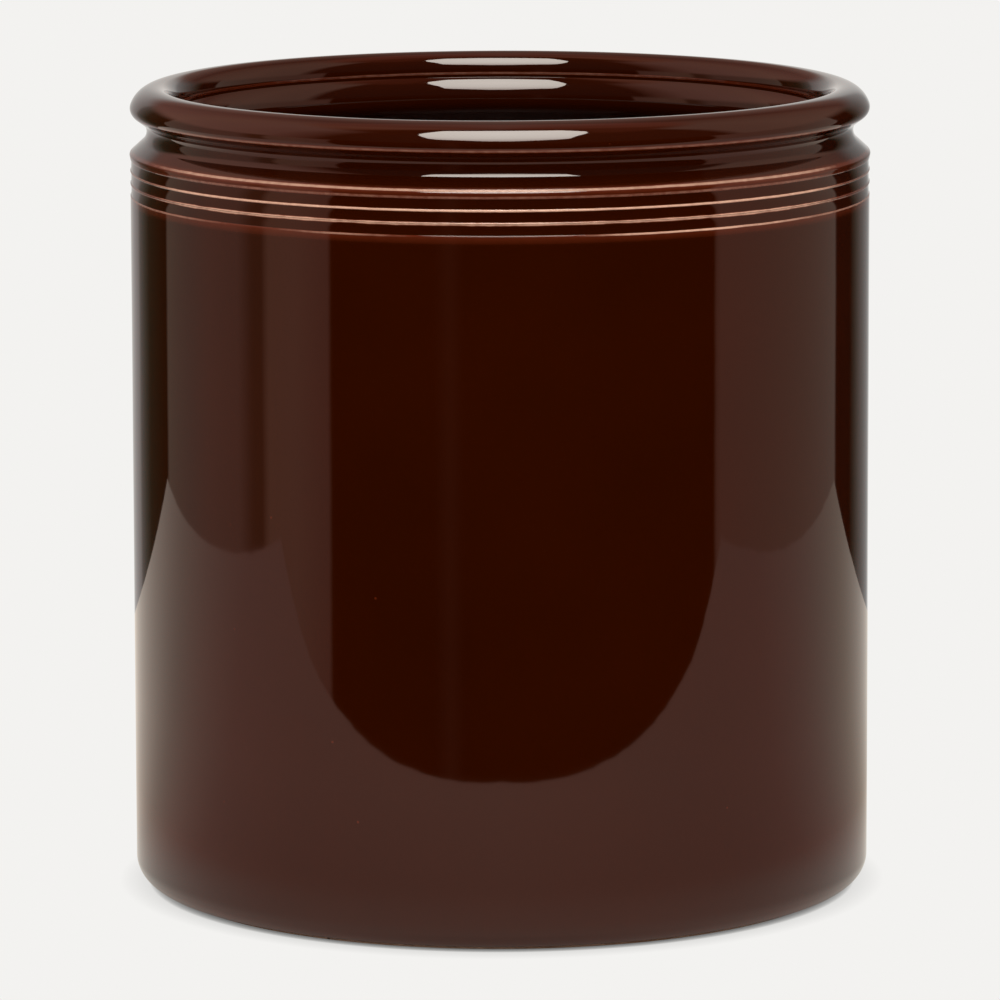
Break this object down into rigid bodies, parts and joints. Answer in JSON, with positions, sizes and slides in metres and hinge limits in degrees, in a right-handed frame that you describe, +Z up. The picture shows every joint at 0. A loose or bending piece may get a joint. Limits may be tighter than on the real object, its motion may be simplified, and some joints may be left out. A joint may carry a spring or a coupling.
{
  "type": "open coffee jar",
  "caption": "Open cylindrical coffee jar in brown glazed stoneware, with a rolled rim, a waisted neck, turned grooves at the shoulder and a bare foot ring.",
  "frame": {"origin": "centre of the foot ring, on the surface that the jar stands on", "axes": "+Z up along the jar's axis, from the foot to the open mouth; the jar is round, so X and Y are free"},
  "size_m": [0.13, 0.13, 0.1415],
  "materials": {
    "bare_stoneware": "matte",
    "brown_glaze": "gloss"
  },
  "bodies": {
    "root": {"stoneware_body": "bare_stoneware", "outer_glaze": "brown_glaze", "liner_glaze": "brown_glaze", "base_glaze": "brown_glaze"}
  },
  "joints": []
}
